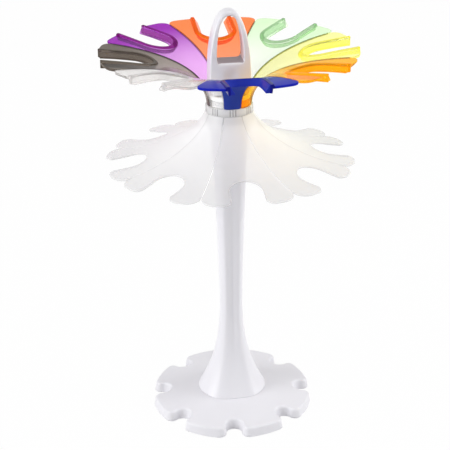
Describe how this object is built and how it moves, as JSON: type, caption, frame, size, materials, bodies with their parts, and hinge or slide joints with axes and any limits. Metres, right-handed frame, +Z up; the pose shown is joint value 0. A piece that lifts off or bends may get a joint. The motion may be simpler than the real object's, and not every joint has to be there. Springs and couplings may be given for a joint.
{
  "type": "pipette carousel stand",
  "caption": "Pipette carousel stand: a fluted column turns on a lobed, weighted base and carries slotted coloured petals, frosted guide petals and a carrying handle.",
  "frame": {"origin": "centre of the base on the surface that the rubber feet stand on", "axes": "+Z up along the column's axis; -Y towards the front, where the handle's flat face and the blue petal are; +X to the right"},
  "size_m": [0.2506, 0.2506, 0.4265],
  "materials": {
    "base_white": "satin moulded plastic, cool white",
    "plate_white": "plain moulded plastic",
    "column_white": "satin moulded plastic, cool white",
    "handle_white": "satin moulded plastic, cool white",
    "hub_white": "satin moulded plastic, cool white",
    "cast_iron": "plain casting",
    "steel": "zinc-plated steel",
    "brass": "turned brass",
    "rubber": "soft grey rubber",
    "acetal": "natural acetal",
    "clear_plastic": "clear moulded plastic",
    "frosted_plastic": "frosted translucent plastic",
    "petal_blue_plastic": "transparent tinted plastic",
    "petal_amber_plastic": "transparent tinted plastic",
    "petal_yellow_plastic": "transparent tinted plastic",
    "petal_green_plastic": "transparent tinted plastic",
    "petal_orange_plastic": "transparent tinted plastic",
    "petal_purple_plastic": "transparent tinted plastic",
    "petal_smoke_plastic": "transparent tinted plastic",
    "petal_clear_plastic": "clear moulded plastic"
  },
  "bodies": {
    "base": {"base_cover": "base_white", "base_ballast": "cast_iron", "base_plate": "plate_white", "base_screws": "steel", "rubber_feet": "rubber", "bush_lower": "acetal", "bush_upper": "acetal", "thrust_washer": "acetal"},
    "carousel": {"column": "column_white", "tie_rod": "steel", "rod_washer": "steel", "rod_nut": "steel", "hub": "hub_white", "hub_screws": "steel", "guide_lock_ring": "hub_white", "snap_ring": "steel", "clear_ring": "clear_plastic", "petal_clamp_ring": "hub_white", "clamp_screws": "steel", "handle": "handle_white", "handle_insert": "brass", "petal_blue": "petal_blue_plastic", "petal_amber": "petal_amber_plastic", "petal_yellow": "petal_yellow_plastic", "petal_green": "petal_green_plastic", "petal_orange": "petal_orange_plastic", "petal_purple": "petal_purple_plastic", "petal_smoke": "petal_smoke_plastic", "petal_clear": "petal_clear_plastic", "guide_petal_1": "frosted_plastic", "guide_petal_2": "frosted_plastic", "guide_petal_3": "frosted_plastic", "guide_petal_4": "frosted_plastic", "guide_petal_5": "frosted_plastic", "guide_petal_6": "frosted_plastic", "guide_petal_7": "frosted_plastic", "guide_petal_8": "frosted_plastic"}
  },
  "joints": [
    {"name": "carousel_spin", "type": "hinge", "parent": "base", "child": "carousel", "pos_m": [0, 0, 0], "axis": [0, 0, 1], "continuous": true}
  ]
}
